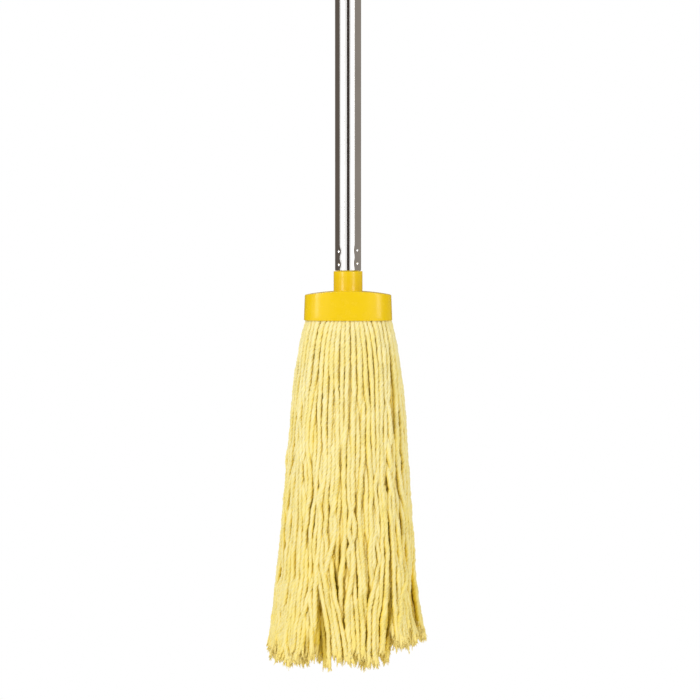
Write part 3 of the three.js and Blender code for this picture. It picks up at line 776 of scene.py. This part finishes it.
def bar_seats(first):
    """Moulded blocks under the roof that the yarn bars are pressed up into: one comb at each end."""
    low = BAR_LOW.z
    top = SIDE_TOP
    outline = [(-SEAT_HALF_DEPTH, low)]
    for y in (-BAR_OFFSET, BAR_OFFSET):
        arc = [(y + SLOT_RADIUS * math.cos(a), low + BAR_RADIUS + SLOT_RADIUS * math.sin(a))
               for a in np.linspace(math.pi, 0, 9)]
        outline += [(y - SLOT_RADIUS, low), *arc, (y + SLOT_RADIUS, low)]
    outline.append((SEAT_HALF_DEPTH, low))
    n = len(outline)
    vertices, quads = [], []
    for inner, outer in (SEAT_SPAN, (-SEAT_SPAN[1], -SEAT_SPAN[0])):
        corners = first + len(vertices) + n * np.arange(4)
        vertices += [(inner, y, z) for y, z in outline] + [(inner, y, top) for y, _ in outline]
        vertices += [(outer, y, top) for y, _ in outline] + [(outer, y, z) for y, z in outline]
        for i in range(n - 1):
            for a, b in zip(corners + i, np.roll(corners, -1) + i):
                quads.append((a, b, b + 1, a + 1))
        quads += [tuple(corners[::-1]), tuple(corners + n - 1)]
    return np.array(vertices), np.array(quads)


def sharpen(obj, degrees):
    """Smooth shading except over edges sharper than an angle."""
    select_only(obj)
    bpy.ops.object.shade_smooth_by_angle(angle=math.radians(degrees))


# -------- where the strands run

def skirt_outline(depth):
    """Half width, half depth and squareness of the skirt at each depth, smooth between stations."""
    fine = np.linspace(SKIRT[0, 0], SKIRT[-1, 0], 400)
    kernel = np.hanning(7)
    kernel /= kernel.sum()
    columns = []
    for column in (1, 2, 3):
        values = np.interp(fine, SKIRT[:, 0], SKIRT[:, column])
        padded = np.concatenate([np.full(3, values[0]), values, np.full(3, values[-1])])
        columns.append(np.interp(depth, fine, np.convolve(padded, kernel, "valid")))
    return columns


def strand_reach(outline, angle):
    """How far from the axis a strand may run in each direction, inside an outline."""
    wide, deep, power = outline
    return oval_reach(wide - STRAND_RADIUS, deep - STRAND_RADIUS, power, angle)


def outline_share(x, y, depth):
    """How far points are on the way from the axis to the outermost strands."""
    return np.hypot(x, y) / strand_reach(skirt_outline(depth), np.arctan2(y, x))


def packed_mouth():
    """Strands packed in the mouth, ring inside ring, as (angle, share of the way to the outline)."""
    fine = np.linspace(0, TAU, 720)
    reach = strand_reach(skirt_outline(0.0), fine)
    along = path_length(around_axis(reach, fine, 0.0))
    source = np.random.default_rng(7)
    angles, shares = [], []
    for number, share in enumerate(np.arange(1.0, 0.05, -RING_STEP)):
        count = round(along[-1] * share / MOUTH_SPACING)
        places = (np.arange(count) + 0.37 * number + source.uniform(-0.15, 0.15, count)) / count
        angles.append(np.interp(places % 1 * along[-1], along, fine))
        shares.append(share + source.uniform(-0.03, 0, count))
    return np.concatenate(angles), np.concatenate(shares)


def slow_noise(count, depths, wave, seed):
    """A smooth random line along the depth for each strand, about -1 to 1."""
    source = np.random.default_rng(seed)
    knots = np.arange(depths[0] - wave, depths[-1] + 2 * wave, wave)
    values = source.normal(0, 0.6, (count, len(knots)))
    place = (depths - knots[0]) / wave
    left = np.floor(place).astype(int)
    share = smooth_step(place - left)
    return values[:, left] * (1 - share) + values[:, left + 1] * share


def clump_drift(angle, depth):
    """Shared sideways drift that gathers neighbouring strands into loose clumps."""
    return (
        0.032 * np.sin(7 * angle + 18 * depth + 2.0)
        + 0.024 * np.sin(13 * angle - 14 * depth + 0.7)
        + 0.012 * np.sin(24 * angle + 30 * depth + 4.0)
    )


def wanted_lines(depths):
    """Where the strands would run if they didn't touch, as an array (strand, level, xy).

    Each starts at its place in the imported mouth, spreads with the skirt and bends at its end."""
    angle, share = packed_mouth()
    count = len(angle)
    source = np.random.default_rng(3)
    spread = smooth_step(depths / SPREAD_DEPTH)
    fan = smooth_step(depths / FAN_DEPTH)
    splay = smooth_step((depths - SPLAY_START) / SPLAY_LENGTH)
    low_share = np.where(share < 0.30, share * 1.3, 1 - (1 - share) ** 1.6 * 0.8)
    stray = (source.random(count) < STRAY_CHANCE) & (share > STRAY_FROM)
    low_share[stray] = 1.0
    lean = np.where(stray, source.normal(0, STRAY_LEAN, count), source.normal(0, LEAN, count))
    sway = sum(slow_noise(count, depths, wave, seed) * size for wave, size, seed in SWAYS)
    share_at = share[:, None] + (low_share - share)[:, None] * spread
    share_at += slow_noise(count, depths, 0.12, 3) * 0.03 * spread
    angle_at = angle[:, None] + (lean[:, None] + sway) * fan
    angle_at += clump_drift(angle[:, None], depths[None, :]) * fan
    reach = strand_reach(skirt_outline(depths), angle_at)
    lines = np.stack([np.cos(angle_at), np.sin(angle_at)], -1) * (share_at * reach)[..., None]
    place = angle / TAU * CLUMPS + 2 * share + source.normal(0, 0.2, count)
    clump = np.floor(place).astype(int) % CLUMPS
    bend = source.normal(0, CLUMP_BEND, (CLUMPS, 2))[clump] + source.normal(0, OWN_BEND, (count, 2))
    lines += bend[:, None] * splay[None, :, None]
    add_waves(lines, depths, 0.026, 4, 0.0004 + 0.0013 * spread)
    return lines


def add_waves(lines, depths, wave, seed, size):
    """Move lines sideways by slow noise, which has its own seed for x and for y."""
    for axis in (0, 1):
        lines[..., axis] += slow_noise(len(lines), depths, wave, seed + axis) * size


def strand_lines(depths):
    """Centre lines of the strands, pushed apart level by level where they would run through each
    other, and smoothed."""
    target = wanted_lines(depths)
    lines = target.copy()
    outline = skirt_outline(depths)
    room = 2 * STRAND_RADIUS * np.interp(depths, *ROOM)
    for _ in range(RELAX_STEPS):
        lines += push_apart(lines, room)
        lines += (target - lines) * 0.06
        lines[:, 1:-1] += (lines[:, :-2] + lines[:, 2:] - 2 * lines[:, 1:-1]) * 0.24
        hold_inside(lines, outline)
    for wave, size, seed in RIPPLES:
        add_waves(lines, depths, wave, seed, size * smooth_step(depths / SPREAD_DEPTH))
    lines[..., 0] += np.interp(depths, DRIFT[:, 0], DRIFT[:, 1])
    return lines


def push_apart(lines, room):
    """Moves that part strands which are closer than their thickness, at every level."""
    move = np.zeros_like(lines)
    for level in range(lines.shape[1]):
        here = lines[:, level]
        gap = here[:, None] - here[None]
        distance = np.hypot(gap[..., 0], gap[..., 1]) + np.eye(len(here))
        short = np.clip(room[level] - distance, 0, None)
        move[:, level] = (gap / distance[..., None] * short[..., None]).sum(1) * 0.35
    return move


def hold_inside(lines, outline):
    """Bring back strands that were pushed out of the skirt's outline."""
    reach = strand_reach(outline, np.arctan2(lines[..., 1], lines[..., 0]))
    radius = np.hypot(lines[..., 0], lines[..., 1])
    lines *= np.minimum(1, reach / np.maximum(radius, 1e-9))[..., None]


# -------- strands

def path_frames(path):
    """Two unit vectors across a path that runs roughly downwards, at each of its points."""
    tangent = unit(np.gradient(path, axis=0))
    side = unit(np.array([1.0, 0, 0]) - tangent * tangent[:, :1])
    return side, np.cross(tangent, side)


def ply_profile(columns):
    """Reach of a rope's section of soft round plies, as a share of its radius, over the angle."""
    ply_radius, ply_offset = 0.60, 0.38
    step = TAU / PLY_COUNT
    angle = circle_angles(columns)
    off = np.mod(angle + step / 2, step) - step / 2
    return angle, ply_offset * np.cos(off) + np.sqrt(ply_radius**2 - (ply_offset * np.sin(off)) ** 2)


def ring_mesh(centre, side, up, turn, radius):
    """Points of a tube: a ring at each centre, with a turn and radius for each column."""
    ring = side[:, None] * np.cos(turn)[..., None] + up[:, None] * np.sin(turn)[..., None]
    return centre[:, None] + ring * radius[..., None]


def closed_tube(points, ends, fibre, look):
    """Tube of rings closed at both ends, as (points, quads, triangles, fibre, look)."""
    rows, columns = points.shape[:2]
    flat = np.concatenate([points.reshape(-1, 3), ends])
    fans = end_fans(rows, columns)
    fibre = np.concatenate([fibre.reshape(-1, 3), fibre[0, :1], fibre[-1, :1]])
    look = np.concatenate([look.reshape(-1, 3), look[0, :1], look[-1, :1]])
    return flat, grid_faces(rows, columns), fans, fibre, look


def wander(source, along, wave, size):
    """A random line along a strand that changes about every wave."""
    knots = np.linspace(0, along[-1], max(2, round(along[-1] / wave)))
    return np.interp(along, knots, source.normal(0, size, len(knots)))


def path_length(path):
    return np.concatenate([[0], np.cumsum(np.linalg.norm(np.diff(path, axis=0), axis=1))])


def depth_inside(path):
    """How deep in the skirt each point of a path lies, 0 on its outside and 1 well inside."""
    share = outline_share(path[:, 0], path[:, 1], MOUTH - path[:, 2])
    return np.clip((0.97 - share) * 6, 0, 0.62)


def sheltered(path, side, up, turn, inner):
    """How much painted shade a tube's points get: inside the skirt, turned away from its outside, and
    more towards the hem.
    """
    outward = path * (1, 2, 0)
    outward /= np.linalg.norm(outward, axis=1)[:, None] + 1e-6
    across = (side * outward).sum(1)[:, None]
    along = (up * outward).sum(1)[:, None]
    facing = np.cos(turn) * across + np.sin(turn) * along
    depth = (MOUTH - path[:, 2])[:, None]
    # Painted shade: its share grows with the depth below the mouth, and a painted shade over the whole
    # tube grows towards the hem.
    open_share = np.interp(depth, [0, 0.08, 0.25], [0.45, 0.75, 0.95])
    hem_shade = np.interp(depth, [0.05, 0.34], [0, 0.22])
    turned = 0.95 * smooth_step((0.9 - facing) / 0.9)
    return hem_shade + (1 - hem_shade) * open_share * np.clip(inner[:, None] + turned, 0, 1)


def strand_body(path, thickness, columns, source, tone, inner):
    """Rope of four plies twisted round a path, with slubs and uneven plies."""
    side, up = path_frames(path)
    along = path_length(path)
    pitch = TWIST_PITCH * source.uniform(0.85, 1.15)
    twist = along / pitch * TAU + wander(source, along, 0.015, 0.6) + source.uniform(0, TAU)
    lumps = wander(source, along, 0.011, 0.05) + wander(source, along, 0.0038, 0.06)
    angle, profile = ply_profile(columns)
    ply = np.floor(np.mod(angle + TAU / PLY_COUNT / 2, TAU) / TAU * PLY_COUNT).astype(int)
    bulge = np.stack([wander(source, along, 0.0055, 0.08) for _ in range(PLY_COUNT)])
    radius = (profile[None, :] + bulge[ply].T) * (thickness * (1 + lumps))[:, None]
    shape = radius.shape
    turn = angle[None, :] + twist[:, None]
    points = ring_mesh(path, side, up, turn, radius)
    # Painted shade in the grooves between the plies.
    groove = np.clip((0.95 - profile) / 0.15, 0, 1) * 0.4
    fibre = around_axis(np.full(shape, STRAND_RADIUS), angle, (along + tone * 7)[:, None])
    # Painted shade where the strand lies deep in the skirt, turns away from its outside or hangs near
    # the hem.
    shade = sheltered(path, side, up, turn, inner)
    look = np.stack([np.full(shape, tone), np.broadcast_to(groove, shape), shade], -1)
    return closed_tube(points, [path[0], path[-1]], fibre, look)


def thin_tube(line, radius, columns, tone, shade):
    """Plain tapered thread along a line."""
    side, up = path_frames(line)
    points = ring_mesh(line, side, up, circle_angles(columns), radius[:, None])
    fibre = points - line[0] + tone
    # The look carries a tone and a painted shade.
    look = np.broadcast_to(np.array([tone, 0.0, shade]), points.shape)
    return closed_tube(points, [line[0], line[-1]], fibre, look)


def held_near(line, start, down, limit):
    """Draw in the points of a line that stray further than a limit from an axis."""
    along = (line - start) @ down
    aside = line - start - along[:, None] * down
    distance = np.linalg.norm(aside, axis=1)
    share = np.minimum(1, limit / np.maximum(distance, 1e-9))
    return start + along[:, None] * down + aside * share[:, None]


def tuft(path, thickness, source, tone, shade):
    """Frayed lower end of a strand: its plies untwist and part, with fibres at their tips."""
    side, up = path_frames(path)
    down = unit(path[-1] - path[-2])
    first_turn = source.uniform(0, TAU)

    def outward(turn):
        return side[-1] * np.cos(turn)[..., None] + up[-1] * np.sin(turn)[..., None]

    meshes = []
    s = np.array([0, 0.2, 0.4, 0.6, 0.8, 0.93, 1.0])
    rounding = np.array([0.9, 1.0, 1.0, 0.95, 0.84, 0.6, 0.25])
    t = np.linspace(0, 1, 4)[:, None]
    for ply in range(PLY_COUNT):
        length = TUFT_OVERLAP + TUFT_LENGTH * source.uniform(0.15, 0.55)
        begin_turn = first_turn + (ply + source.uniform(-0.2, 0.2)) / PLY_COUNT * TAU
        turn = begin_turn + s * source.uniform(0.4, 1.4)
        offset = thickness * (0.42 + source.uniform(0.1, 0.8) * s**2)
        line = path[-1] + outward(turn) * offset[:, None] + down * (length * s - TUFT_OVERLAP)[:, None]
        meshes.append(thin_tube(line, 0.56 * thickness * rounding, 7, tone, shade))
        for _ in range(FIBRES_PER_PLY):
            place = source.integers(3, 7)
            spread = outward(turn[place] + source.normal(0, 0.9))
            begin = line[place] + spread * 0.3 * thickness * rounding[place]
            reach = source.uniform(0.0015, 0.0045)
            wisp = begin + down * reach * t + spread * source.uniform(0, 0.0016) * t**1.3
            wisp = held_near(wisp, path[-1], down, TUFT_REACH)
            size = source.uniform(0.00022, 0.00040)
            meshes.append(thin_tube(wisp, size * (1 - 0.4 * t[:, 0]), 4, tone, shade))
    return meshes


def merged(name, meshes):
    """One object from several (points, quads, triangles, fibre, look) sets."""
    points, quads, triangles, fibres, looks = zip(*meshes)
    starts = np.cumsum([0] + [len(p) for p in points])
    faces = [np.concatenate([f + start for f, start in zip(group, starts)])
             for group in (quads, triangles)]
    obj = new_object(name, np.concatenate(points), faces)
    set_vectors(obj, "fibre", np.concatenate(fibres))
    set_vectors(obj, "look", np.concatenate(looks))
    return obj


def smooth_path(points, spacing):
    """Catmull-Rom line through points, resampled to an even spacing."""
    padded = np.concatenate([[2 * points[0] - points[1]], points, [2 * points[-1] - points[-2]]])
    t = np.linspace(0, 1, 8, endpoint=False)[:, None]
    pieces = []
    for i in range(len(points) - 1):
        p0, p1, p2, p3 = padded[i:i + 4]
        pieces.append(0.5 * (
            2 * p1 + (p2 - p0) * t + (2 * p0 - 5 * p1 + 4 * p2 - p3) * t**2
            + (3 * p1 - p0 - 3 * p2 + p3) * t**3
        ))
    line = np.concatenate([*pieces, points[-1:]])
    along = path_length(line)
    even = np.linspace(0, along[-1], max(8, round(along[-1] / spacing)))
    return np.stack([np.interp(even, along, line[:, k]) for k in range(3)], -1)


def bundle_name(x, y):
    """The CAD bundle whose sector holds a point: eight sectors, evenly thick."""
    turn = math.atan2(y / SHELL_SHOULDER[1], x / SHELL_SHOULDER[0]) / TAU
    return BUNDLES[round(turn * len(BUNDLES)) % len(BUNDLES)]


def make_yarn(material):
    depths = np.concatenate([[-STRAND_TOP, -0.003], np.arange(0, 0.352, 0.007)])
    lines = strand_lines(depths)
    strands = [plan_strand(line, depths, index) for index, line in enumerate(lines)]
    outer = sorted((s for s in strands if s["share"] > CORD_SHARE), key=lambda s: -s["end"])
    for number, strand in enumerate(outer[:CORD_COUNT]):
        strand["cord"] = f"strand_{number + 1:02d}"
    for strand in strands:
        build_strand(strand)
        if "cord" in strand:
            declare_strand(strand, material)
    for where in sorted({s["where"] for s in strands}):
        rest = [m for s in strands if s["where"] == where and "cord" not in s for m in s["meshes"]]
        obj = merged(f"yarn_mass_{where}", rest)
        dress_yarn(obj, material, where)
        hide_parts(f"yarn_{where}")


def plan_strand(line, depths, index):
    """Where a strand belongs, how long it is and the points it runs through."""
    source = np.random.default_rng(1000 + index)
    x, y = line[len(depths) // 2]
    share = float(outline_share(x, y, depths[len(depths) // 2]))
    where = "core" if share < CORE_SHARE else bundle_name(x, y)
    longest = np.interp(line[-4, 0], HEM[:, 0], HEM[:, 1])
    end = longest - TUFT_LENGTH - min(abs(source.normal(0, END_SCATTER)), MOST_SCATTER)
    end -= CORE_SHORTER if where == "core" else 0
    keep = depths < end - 0.002
    last = [np.interp(end, depths, line[:, axis]) for axis in (0, 1)]
    flat = np.concatenate([line[keep], [last]])
    down = np.concatenate([depths[keep], [end]])
    return {
        "where": where,
        "share": share,
        "points": np.column_stack([flat, MOUTH - down]),
        "end": end,
        "source": source,
        "tone": float(np.clip(source.normal(0.5, 0.27), 0, 1)),
    }


def build_strand(strand):
    """Meshes of one strand: coarser if it hangs far inside."""
    near = strand["share"] > FINE_SHARE
    path = smooth_path(strand["points"], 0.0018 if near else 0.0032)
    # How deep in the skirt each point lies, which sets its painted shade.
    inner = depth_inside(path)
    size = strand["source"].uniform(0.88, 1.10) * STRAND_RADIUS
    thickness = size * np.interp(MOUTH - path[:, 2], [0, 0.06, 0.3], [1.04, 1.01, 1.08])
    strand["path"] = path
    body = strand_body(path, thickness, 16 if near else 8, strand["source"], strand["tone"], inner)
    # The tufts get a painted golden shade, a share of at least 0.42 and more deep in the skirt.
    tone, shade = 0.2 + 0.7 * strand["tone"], max(0.42, 0.85 * inner[-1])
    strand["meshes"] = [body, *tuft(path, thickness[-1], strand["source"], tone, shade)]


def dress_yarn(obj, material, where):
    """Material and body of a yarn piece: the core moves with the head; the others are not attached,
    their placement is baked into their points.
    """
    obj.data.materials.append(material)
    if where == "core":
        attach(obj, "head")
    else:
        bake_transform(obj)


def declare_strand(strand, material):
    """A strand as an object of its own, a cord that hangs from the ferrule's mouth."""
    obj = merged(strand["cord"], strand["meshes"])
    dress_yarn(obj, material, strand["where"])


def make_crown(material, side):
    """Yarn folded over one bar inside the ferrule: a row of loops."""
    where = "front" if side < 0 else "back"
    y_bar = side * BAR_OFFSET
    z_bar = (BAR_LOW.z + BAR_HIGH.z) / 2
    bend = 0.0046
    foot = MOUTH + STRAND_TOP + 0.001
    meshes = []
    for number, x in enumerate(np.linspace(-0.026, 0.026, 11)):
        source = np.random.default_rng(500 + number + (50 if side > 0 else 0))
        turn = np.linspace(math.pi, 0, 9)
        loop = [(x, y_bar - bend, foot)]
        loop += [(x, y_bar + bend * math.cos(a), z_bar + bend * math.sin(a)) for a in turn]
        loop += [(x, y_bar + bend, foot)]
        meshes.append(loop_mesh(smooth_path(np.array(loop), LOOP_STEP), source))
    crown = merged(f"crown_{where}", meshes)
    return finish_piece(crown, material, "cotton_yarn", "head", f"yarn_crown_{where}")


def loop_mesh(path, source):
    """Twisted yarn over a bar: its rings turn about the X axis, which the loop goes round."""
    columns = 12
    side = np.tile([1.0, 0, 0], (len(path), 1))
    up = np.cross(unit(np.gradient(path, axis=0)), side)
    angle, profile = ply_profile(columns)
    along = np.arange(len(path)) * LOOP_STEP
    turn = angle[None, :] + (along / TWIST_PITCH * TAU)[:, None]
    points = ring_mesh(path, side, up, turn, STRAND_RADIUS * 0.9 * profile)
    flat = np.concatenate([points.reshape(-1, 3), [path[0], path[-1]]])
    # The loops get a painted groove shade of 0.2 all over.
    look = np.tile([source.uniform(0.2, 0.8), 0.2, 0.0], (len(flat), 1))
    return flat, grid_faces(len(path), columns), end_fans(len(path), columns), flat - path[0], look


# -------- inner CAD pieces that stay

def dress_cad_nodes(zinc, nylon):
    """Give the small inner pieces, whose CAD shape is right, their materials."""
    zinc_nodes = ["eye_push_nut", "yarn_bar_front", "yarn_bar_back"]
    zinc_nodes += ["clip_screw_left", "clip_screw_right"]
    for material, nodes in ((zinc, zinc_nodes), (nylon, ["bar_clip_left", "bar_clip_right"])):
        for node in nodes:
            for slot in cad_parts[node].material_slots:
                slot.material = material


# -------- the whole scene

add_camera()
light_the_studio()
chrome = chrome_material()
zinc = zinc_material()
yellow = plastic_material("yellow_plastic", (0.73, 0.485, 0.001), (0.755, 0.51, 0.002), 0.23)
nylon = plastic_material("natural_nylon", (0.80, 0.78, 0.70), (0.86, 0.84, 0.77), 0.45, 0.2)
yarn = yarn_material()

make_yarn(yarn)
make_crown(yarn, -1)
make_crown(yarn, 1)
make_tube(chrome)
make_tip(nylon)
make_plug(yellow)
make_eye(yellow)
make_ferrule(yellow)
dress_cad_nodes(zinc, nylon)
